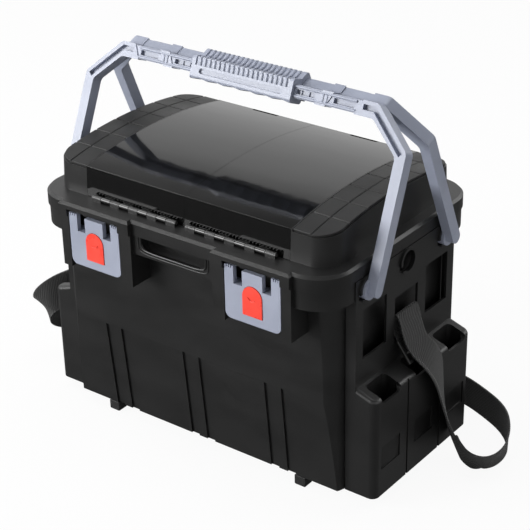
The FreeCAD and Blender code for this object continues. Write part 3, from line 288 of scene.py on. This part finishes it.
# shoulder strap: middle of the webbing and the way its width points, in mm
strap = {"width": 40, "thick": 1.8, "columns": 8, "rows": 8}
yWay, down, leaning = (0, 1, 0), (0, 0, -1), (-0.384, 0.498, -0.777)
route = [
    ((219.5, 0, 160), yWay), ((214, 0, 173), yWay), ((205.5, 0, 182), yWay), ((203.8, 0, 196), yWay),
    ((209, 0, 206), yWay), ((214.5, 0, 200), yWay), ((218.5, 0, 184), yWay), ((225, -1, 170), yWay),
    ((233, 0, 161), (-0.05, 0.99, 0.08)), ((241.5, 7, 149), (-0.2, 0.93, 0.2)),
    ((244, 20, 127), (-0.331, 0.916, 0.228)), ((243.5, 31, 91), (-0.464, 0.87, -0.1)),
    ((244.5, 38, 58), (-0.577, 0.773, -0.265)), ((250, 43, 34), (-0.54, 0.696, -0.474)),
    ((258, 41, 23.5), (-0.45, 0.6, -0.66)), ((272, 31, 19.5), leaning), ((290, 24, 19), leaning),
    ((305, 29, 19), leaning), ((311, 50, 19.5), (-0.35, 0.4, -0.82)), ((306, 78, 20.5), (-0.2, 0.25, -0.93)),
    ((292, 104, 20.3), down), ((270, 124, 20.3), down), ((237, 140, 20.3), down), ((205, 152, 20.3), down),
    ((150, 162, 20.3), down), ((50, 167, 20.3), down),
    ((-50, 167, 20.3), down), ((-150, 163, 20.3), down), ((-205, 157, 20.3), down), ((-242, 132, 20.3), down),
    ((-256, 82, 22), (-0.05, 0, -1)), ((-266, 30, 34), (0.15, 0.1, -1)), ((-287, -22, 52), (0.4, 0, -0.9)),
    ((-296, -50, 63), (0.6, -0.1, -0.75)), ((-299, -62, 74), (0.75, -0.1, -0.6)),
    ((-296, -62, 85), (0.8, 0.1, -0.5)), ((-286, -54, 96), (0.7, 0.45, -0.4)),
    ((-270, -36, 110), (0.5, 0.75, -0.2)), ((-252, -16, 129), (0.15, 1, 0)),
    ((-239.5, -2, 145), yWay), ((-232, 0, 156), yWay), ((-225, 0, 168), yWay), ((-218.5, 0, 184), yWay),
    ((-214.5, 0, 200), yWay), ((-209, 0, 206), yWay), ((-203.8, 0, 196), yWay), ((-205.5, 0, 182), yWay),
    ((-214, 0, 173), yWay), ((-219.5, 0, 160), yWay)]


def smoothLine(points, steps):  # the places along a NURBS line with these control points
    curve = bpy.data.curves.new("line", "CURVE")
    curve.dimensions = "3D"
    spline = curve.splines.new("NURBS")
    spline.points.add(len(points) - 1)
    for point, place in zip(spline.points, points):
        point.co = (*place, 1)
    spline.order_u = 3
    spline.use_endpoint_u = True
    spline.resolution_u = steps
    holder = bpy.data.objects.new("line", curve)
    mesh = bpy.data.meshes.new_from_object(holder)
    line = [vertex.co.copy() for vertex in mesh.vertices]
    bpy.data.objects.remove(holder)
    bpy.data.curves.remove(curve)
    bpy.data.meshes.remove(mesh)
    return line


def makeStrap():
    centre = smoothLine([Vector(place) * mm for place, way in route], strap["rows"])
    ways = smoothLine([Vector(way).normalized() for place, way in route], strap["rows"])
    last = len(centre) - 1
    columns = strap["columns"]
    bm = bmesh.new()
    flat = bm.loops.layers.uv.new("flat")
    rows, run = [], [0.0]
    for i, place in enumerate(centre):
        ahead = (centre[min(i + 1, last)] - centre[max(i - 1, 0)]).normalized()
        way = (ways[i] - ahead * ways[i].dot(ahead)).normalized()
        rows.append([bm.verts.new(place + way * (j / columns - 0.5) * strap["width"] * mm)
                     for j in range(columns + 1)])
        if i:
            run.append(run[-1] + (place - centre[i - 1]).length)
    for i in range(last):
        for j in range(columns):
            face = bm.faces.new((rows[i][j], rows[i][j + 1], rows[i + 1][j + 1], rows[i + 1][j]))
            for loop, (row, column) in zip(face.loops, ((i, j), (i, j + 1), (i + 1, j + 1), (i + 1, j))):
                loop[flat].uv = (column / columns, run[row] / (strap["width"] * mm))
    made = newPiece("shoulder_webbing", bm, bodyOf["shoulder_strap"], "webbing", sharp=180)
    thick = made.modifiers.new("thick", "SOLIDIFY")
    thick.thickness = strap["thick"] * mm
    thick.offset = 0
    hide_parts("shoulder_strap")
    print("stage: strap made,", round(run[-1], 3), "m")
    return centre, ways


strapLine, strapWays = makeStrap()


def copyOf(node):  # a CAD node's shape, merged and with its flats whole
    bm = bmesh.new()
    bm.from_mesh(nodes[node].data)
    bmesh.ops.remove_doubles(bm, verts=bm.verts, dist=0.02 * mm)
    bmesh.ops.dissolve_limit(bm, angle_limit=math.radians(0.6), verts=bm.verts, edges=bm.edges)
    return bm


def carve(made, cutters):
    mesh = bpy.data.meshes.new("cutter")
    cutters.to_mesh(mesh)
    cutters.free()
    tool = bpy.data.objects.new("cutter", mesh)
    bpy.context.collection.objects.link(tool)
    cut = made.modifiers.new("carve", "BOOLEAN")
    cut.operation = "DIFFERENCE"
    cut.solver = "EXACT"
    cut.object = tool
    bpy.context.view_layer.update()
    result = bpy.data.meshes.new_from_object(made.evaluated_get(bpy.context.evaluated_depsgraph_get()))
    made.modifiers.clear()
    old = made.data
    made.data = result
    bpy.data.objects.remove(tool)
    bpy.data.meshes.remove(mesh)
    bpy.data.meshes.remove(old)


def soften(made, width, segments=2, angle=30):
    edge = made.modifiers.new("soften", "BEVEL")
    edge.width = width * mm
    edge.segments = segments
    edge.limit_method = "ANGLE"
    edge.angle_limit = math.radians(angle)
    edge.miter_outer = "MITER_ARC"
    edge.use_clamp_overlap = True
    level = made.modifiers.new("level", "WEIGHTED_NORMAL")
    level.keep_sharp = True
    return made


def addBox(bm, low, high, space=Matrix.Identity(4), round=0.0):
    low, high = Vector(low) * mm, Vector(high) * mm
    verts = bmesh.ops.create_cube(bm, size=1)["verts"]
    bmesh.ops.scale(bm, vec=high - low, verts=verts)
    bmesh.ops.translate(bm, vec=(low + high) / 2, verts=verts)
    bmesh.ops.transform(bm, matrix=space, verts=verts)
    if round:
        edges = list({edge for vert in verts for edge in vert.link_edges})
        bmesh.ops.bevel(bm, geom=edges, offset=round * mm, segments=2, profile=0.5, affect="EDGES",
                        material=-1)


def addRod(bm, start, end, radius, space=Matrix.Identity(4), segments=14, round=0.0):
    start, end = Vector(start) * mm, Vector(end) * mm
    run = end - start
    verts = bmesh.ops.create_cone(bm, cap_ends=True, segments=segments, radius1=radius * mm,
                                  radius2=radius * mm, depth=run.length)["verts"]
    turn = run.to_track_quat("Z", "Y").to_matrix().to_4x4()
    bmesh.ops.transform(bm, matrix=space @ Matrix.Translation((start + end) / 2) @ turn, verts=verts)
    if round:
        rims = [edge for edge in {edge for vert in verts for edge in vert.link_edges}
                if any(len(face.verts) == segments for face in edge.link_faces)]
        bmesh.ops.bevel(bm, geom=rims, offset=round * mm, segments=2, profile=0.5, affect="EDGES",
                        material=-1)


def addTube(bm, points, radius, steps=5, space=Matrix.Identity(4)):  # a bead along a smooth line
    line = [space @ place for place in smoothLine([Vector(point) * mm for point in points], steps)]
    curve = bpy.data.curves.new("bead", "CURVE")
    curve.dimensions = "3D"
    spline = curve.splines.new("POLY")
    spline.points.add(len(line) - 1)
    for point, place in zip(spline.points, line):
        point.co = (*place, 1)
    curve.bevel_depth = radius * mm
    curve.bevel_resolution = 2
    curve.use_fill_caps = True
    holder = bpy.data.objects.new("bead", curve)
    mesh = bpy.data.meshes.new_from_object(holder)
    bm.from_mesh(mesh)
    bpy.data.objects.remove(holder)
    bpy.data.curves.remove(curve)
    bpy.data.meshes.remove(mesh)
    bmesh.ops.remove_doubles(bm, verts=bm.verts, dist=0.01 * mm)


def outward(bm):
    bmesh.ops.recalc_face_normals(bm, faces=bm.faces)
    return bm


sides = {"right": 1, "left": -1}


def mirrorX(side):
    return Matrix.Scale(sides[side], 4, (1, 0, 0))


# the plain moulded pieces: their CAD shapes with every edge rounded as a mould leaves it
edgeRound = {"tub": 1.1, "left_side_carrier": 1.0, "right_side_carrier": 1.0, "lid_frame": 1.2,
             "left_seat_pad": 0.7, "right_seat_pad": 0.7, "left_door": 0.9, "right_door": 0.9,
             "front_grip": 0.7, "rear_grip": 0.7, "left_latch": 0.8, "right_latch": 0.8,
             "left_latch_button": 0.9, "right_latch_button": 0.9, "left_striker": 0.3, "right_striker": 0.3,
             "left_slide": 0.6, "right_slide": 0.6, "feet": 0.9}
for node, width in edgeRound.items():
    made = soften(newPiece(node + "_shape", copyOf(node), bodyOf[node], slotOf[node]), width)
    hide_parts(node)
print("stage: moulded pieces rounded")


# folding handle: each half leans in over the lid, drawn here in its own upright space
handle = {"pivot": (0, -79, 265), "lean": 22.8, "frameFront": 7.5, "neckIn": 71, "blockIn": 99,
          "collar": 151, "railRadius": 1.75, "railOut": 6.2, "rails": (188.2, 177.6),
          "channelLow": 180.2, "channelHigh": 185.6, "channelFloor": 2.4}
bars = {"at": (108.5, 113.5), "half": 1.1, "low": 178.6, "high": 187.2, "back": 6.5, "front": 8.3, "round": 0.4}
webs = {"at": (78, 88), "half": 0.5, "low": 180, "high": 185.8, "back": 2, "front": 3.8}


def handleSpace(half):
    turn = Matrix.Translation(Vector(handle["pivot"]) * mm)
    turn = turn @ Matrix.Rotation(math.radians(90 - handle["lean"]), 4, "X")
    return turn if half == "front" else Matrix.Scale(-1, 4, (0, 1, 0)) @ turn


def makeBail(half):
    space = handleSpace(half)
    node = half + "_bail"
    made = newPiece(node + "_shape", copyOf(node), bodyOf[node], "grey")
    cutters = bmesh.new()
    for side in sides:
        addBox(cutters, (handle["neckIn"] + 2, handle["channelLow"], handle["channelFloor"]),
               (handle["blockIn"] - 1, handle["channelHigh"], handle["frameFront"] + 2),
               space @ mirrorX(side))
    carve(made, outward(cutters))
    soften(made, 0.9)
    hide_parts(node)
    rails = bmesh.new()
    for side in sides:
        there = space @ mirrorX(side)
        for height in handle["rails"]:
            addRod(rails, (handle["neckIn"] - 0.6, height, handle["railOut"]),
                   (handle["collar"], height, handle["railOut"]), handle["railRadius"], there, 16)
        for x in bars["at"]:  # raised bars across the blocks
            addBox(rails, (x - bars["half"], bars["low"], bars["back"]),
                   (x + bars["half"], bars["high"], bars["front"]), there, bars["round"])
        for x in webs["at"]:  # low webs in the channel
            addBox(rails, (x - webs["half"], webs["low"], webs["back"]),
                   (x + webs["half"], webs["high"], webs["front"]), there)
    newPiece(half + "_bail_rails", outward(rails), bodyOf[node], "grey")


for half in ("front", "rear"):
    makeBail(half)
print("stage: bails and rails made")

# grip ribs: rounded rolls that wrap from the front over the top to the seam
ribs = {"pitch": 6.6, "count": 19, "half": 2.75, "high": 1.75, "low": 184.6, "top": 194.3, "front": 9.8,
        "corner": 3.4, "seam": -1.0}


def grow(bm, cap, step, stretch=None):  # pushes an end face on and returns the new one
    moved = bmesh.ops.extrude_face_region(bm, geom=cap)["geom"]
    bmesh.ops.delete(bm, geom=cap, context="FACES_ONLY")
    verts = [item for item in moved if isinstance(item, bmesh.types.BMVert)]
    bmesh.ops.translate(bm, vec=Vector(step) * mm, verts=verts)
    if stretch:
        middle = sum((vert.co for vert in verts), Vector()) / len(verts)
        bmesh.ops.scale(bm, vec=stretch, verts=verts, space=Matrix.Translation(-middle))
    return [item for item in moved if isinstance(item, bmesh.types.BMFace)]


def makeRibs(half):
    bm = bmesh.new()
    ring = bmesh.ops.create_circle(bm, cap_ends=True, segments=12, radius=1)["verts"]
    bmesh.ops.rotate(bm, matrix=Matrix.Rotation(math.radians(90), 3, "X"), verts=ring)
    bmesh.ops.scale(bm, vec=(ribs["half"] * mm * 0.6, 1, ribs["high"] * mm * 0.5), verts=ring)
    bmesh.ops.translate(bm, vec=Vector((0, ribs["low"] - 1.1, ribs["front"])) * mm, verts=ring)
    bend = ribs["top"] - ribs["corner"]
    inner = ribs["front"] - ribs["corner"]
    cap = grow(bm, bm.faces[:], (0, 1.1, 0), (1 / 0.6, 1, 2))
    cap = grow(bm, cap, (0, bend - ribs["low"], 0))
    turned = bmesh.ops.spin(bm, geom=cap, cent=Vector((0, bend, inner)) * mm, axis=(-1, 0, 0), dvec=(0, 0, 0),
                            angle=math.radians(90), steps=4, use_duplicate=False)["geom_last"]
    cap = [item for item in turned if isinstance(item, bmesh.types.BMFace)]
    cap = grow(bm, cap, (0, 0, ribs["seam"] - inner))
    grow(bm, cap, (0, 0, -0.9), (0.6, 0.5, 1))
    one = bm.verts[:] + bm.edges[:] + bm.faces[:]
    start = -ribs["pitch"] * (ribs["count"] - 1) / 2
    for i in range(1, ribs["count"]):
        copied = bmesh.ops.duplicate(bm, geom=one)["geom"]
        verts = [item for item in copied if isinstance(item, bmesh.types.BMVert)]
        bmesh.ops.translate(bm, vec=Vector((start + ribs["pitch"] * i, 0, 0)) * mm, verts=verts)
    verts = [item for item in one if isinstance(item, bmesh.types.BMVert)]
    bmesh.ops.translate(bm, vec=Vector((start, 0, 0)) * mm, verts=verts)
    bmesh.ops.transform(bm, matrix=handleSpace(half), verts=bm.verts)
    newPiece(half + "_grip_ribs", outward(bm), bodyOf[half + "_grip"], "grey", sharp=60)


for half in ("front", "rear"):
    makeRibs(half)
print("stage: grip ribs made")

# small mouldings on the latches, lid, doors and side pockets
button = {"x": 112.75, "y": -153.6, "z": 256.5, "ring": 5.4, "bead": 0.45}
pins = {"x": (-5.2, 0, 5.2), "y": -141.6, "low": 279, "high": 288.6, "radius": 1.25}
teeth = {"start": 9.5, "end": 128, "pitch": 4.55, "half": 0.8, "y": -126.6, "front": 0.9, "back": 1.6,
         "z": 305.2, "under": 1.4, "over": 1.1, "round": 0.35}
label = {"y": 68.5, "half": 15.6, "low": 48.4, "high": 76.6, "x": 236.1, "slotHalf": 14.6, "slotLow": 49.2,
         "ends": 0.9}


def makeSmallMouldings(side):
    there = mirrorX(side)
    bm = bmesh.new()
    arc = [(button["x"] + button["ring"] * math.cos(math.radians(turn)), button["y"],
            button["z"] + button["ring"] * math.sin(math.radians(turn))) for turn in range(195, 316, 20)]
    addTube(bm, arc, button["bead"], space=there)
    newPiece(side + "_button_arc", outward(bm), side + "_button", "red")

    bm = bmesh.new()
    for x in pins["x"]:
        addRod(bm, (button["x"] + x, pins["y"], pins["low"]), (button["x"] + x, pins["y"], pins["high"]),
               pins["radius"], there, 12, 0.4)
    newPiece(side + "_striker_pins", outward(bm), "lid", "shell", "gloss")

    bm = bmesh.new()
    x = teeth["start"]
    while x < teeth["end"]:
        addBox(bm, (x - teeth["half"], teeth["y"] - teeth["front"], teeth["z"] - teeth["under"]),
               (x + teeth["half"], teeth["y"] + teeth["back"], teeth["z"] + teeth["over"]),
               there, teeth["round"])
        x += teeth["pitch"]
    newPiece(side + "_door_teeth", outward(bm), side + "_door", "gloss")

    seats, slots = bmesh.new(), bmesh.new()
    for y in (-label["y"], 0, label["y"]):
        addBox(seats, (label["x"] - 1.5, y - label["half"], label["low"]),
               (label["x"] + 0.15, y + label["half"], label["high"]), there)
        addBox(slots, (label["x"] - 1, y - label["slotHalf"], label["slotLow"]),
               (label["x"] + 0.75, y + label["slotHalf"], label["slotLow"] + 0.9), there, 0.3)
        for end in (-1, 1):
            addRod(slots, (label["x"] - 0.5, y + end * label["slotHalf"], label["slotLow"] + 0.6),
                   (label["x"] + 1.0, y + end * label["slotHalf"], label["slotLow"] + 0.6),
                   label["ends"], there, 12, 0.3)
    newPiece(side + "_label_seats", outward(seats), "box", "shell", "label")
    newPiece(side + "_label_slots", outward(slots), "box", "shell")


for side in sides:
    makeSmallMouldings(side)

# finger slot in the front wall: a raised double rim round its lower edge
slot = {"half": 46.5, "low": 264, "top": 280, "corner": 15, "y": -147.2, "bead": 1.1, "outer": 3.4,
        "fine": 0.6}


def makeSlotRim():
    bm = bmesh.new()
    for wider, bead in ((0, slot["bead"]), (slot["outer"], slot["fine"])):
        half, low = slot["half"] + wider, slot["low"] - wider
        points = [(-half, slot["y"], slot["top"]), (-half, slot["y"], low + slot["corner"]),
                  (-half, slot["y"], low + 2), (-half + slot["corner"], slot["y"], low),
                  (-half + slot["corner"] * 2, slot["y"], low)]
        points += [(-x, y, z) for x, y, z in reversed(points)]
        addTube(bm, points, bead, 8)
    newPiece("finger_slot_rim", outward(bm), "box", "shell")


makeSlotRim()
print("stage: small mouldings made")

# stitches along the strap's front edge near the twist
stitches = {"first": 62, "last": 104, "in": 17.2, "long": 2.2, "radius": 0.32}


def makeStitches():
    bm = bmesh.new()
    for i in range(stitches["first"], stitches["last"]):
        step = strapLine[i + 1] - strapLine[i]
        ahead = step.normalized()
        way = (strapWays[i] - ahead * strapWays[i].dot(ahead)).normalized()
        normal = ahead.cross(way)
        reach = ahead * min(stitches["long"] * mm, step.length * 0.6) / 2
        for face in (-1, 1):
            middle = strapLine[i] - way * stitches["in"] * mm + normal * face * strap["thick"] * 0.5 * mm
            addRod(bm, (middle - reach) / mm, (middle + reach) / mm, stitches["radius"], segments=6)
    newPiece("strap_stitches", outward(bm), bodyOf["shoulder_strap"], "webbing", "thread")


makeStitches()
print("stage: stitches made")

# studio: pale floor, a bright wall low behind, darkness above it for the gloss to mirror
studio = {"floorWhite": 0.93, "floorMirror": 0.16, "fill": 0.2, "wall": 1.05, "overhead": 0.1,
          "wallTop": 0.60, "wallSoft": 0.10}
lamps = {"key": {"place": (-2.0, -2.5, 1.3), "size": 1.9, "power": 118},
         "top": {"place": (0.1, 0.2, 3.0), "size": 1.8, "power": 24},
         "side": {"place": (2.8, -0.2, 1.4), "size": 1.4, "power": 5},
         "edge": {"place": (-1.7, -0.2, 2.7), "size": 1.1, "power": 26},
         "rear": {"place": (1.5, 2.5, 1.8), "size": 1.8, "power": 24}}


def makeStudio():
    bm = bmesh.new()
    bmesh.ops.create_grid(bm, x_segments=1, y_segments=1, size=7)
    mesh = bpy.data.meshes.new("floor")
    bm.to_mesh(mesh)
    bm.free()
    floor = bpy.data.objects.new("floor", mesh)
    floor.location.z = -0.3 * mm
    bpy.context.collection.objects.link(floor)
    f = newFinish("paleFloor")
    seen = f.node("ShaderNodeLightPath", out="Is Camera Ray")
    mirrored = f.node("ShaderNodeLightPath", out="Is Glossy Ray")
    through = f.node("ShaderNodeLightPath", out="Is Transmission Ray")
    share = seen * studio["floorWhite"] + mirrored + through * studio["floorWhite"]
    glow = f.node("ShaderNodeEmission", {}, tone(1), 1 - mirrored * (1 - studio["floorMirror"]))
    mixed = f.node("ShaderNodeMixShader", {}, share, Value(f, f.shader.outputs[0]), glow)
    f.done(Base_Color=tone(0.8), Roughness=0.9)
    f.links.new(mixed.socket, f.nodes["Material Output"].inputs[0])
    mesh.materials.append(f.owner)

    world = bpy.data.worlds.new("studio")
    bpy.context.scene.world = world
    w = Finish(world)
    height = w.along(w.node("ShaderNodeTexCoord", out="Generated"), "Z")
    sweep = w.spread(height, studio["wall"], studio["overhead"], studio["wallTop"] - studio["wallSoft"],
                     studio["wallTop"] + studio["wallSoft"])
    seen = w.node("ShaderNodeLightPath", out="Is Camera Ray")
    mirrored = w.node("ShaderNodeLightPath", out="Is Glossy Ray")
    plain = (1 - seen) * (1 - mirrored) * studio["fill"]
    w.feed(w.nodes["Background"].inputs[1], seen + mirrored * (1 - seen) * sweep + plain)
    w.nodes["Background"].inputs[0].default_value = tone(1)

    for name, lamp in lamps.items():
        data = bpy.data.lights.new(name, "AREA")
        data.size = lamp["size"]
        data.energy = lamp["power"]
        made = bpy.data.objects.new(name, data)
        made.location = lamp["place"]
        made.rotation_euler = (Vector((0, 0, 0.2)) - made.location).to_track_quat("-Z", "Y").to_euler()
        bpy.context.collection.objects.link(made)


makeStudio()
print("stage: studio set")
